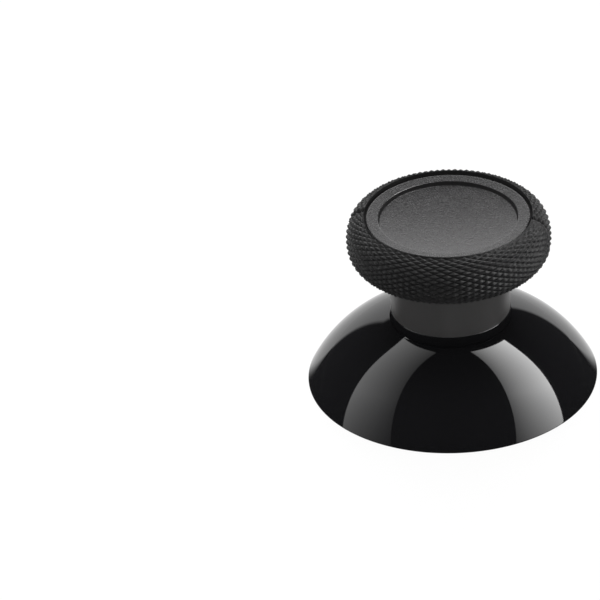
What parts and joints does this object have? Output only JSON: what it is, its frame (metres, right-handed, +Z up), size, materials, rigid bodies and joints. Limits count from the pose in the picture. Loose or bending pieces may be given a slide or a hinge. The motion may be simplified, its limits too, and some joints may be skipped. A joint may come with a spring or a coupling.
{
  "type": "thumbstick cap",
  "caption": "Domed skirt with a short neck and a knurled mushroom grip with a dished top, made to push onto a controller joystick post.",
  "frame": {"origin": "middle of the plane that the skirt's rim stands on", "axes": "+Z up along the cap's axis towards the dished top, +X through one of the grip's two mould seams"},
  "size_m": [0.0254, 0.0254, 0.0163],
  "materials": {
    "gloss_black_plastic": "polished black moulding, satin on the neck and spark-eroded inside the dome",
    "matte_black_rubber": "matte black overmoulded elastomer with a fine grain"
  },
  "bodies": {
    "root": {"skirt_and_stem": "gloss_black_plastic", "knurled_grip": "matte_black_rubber"}
  },
  "joints": []
}
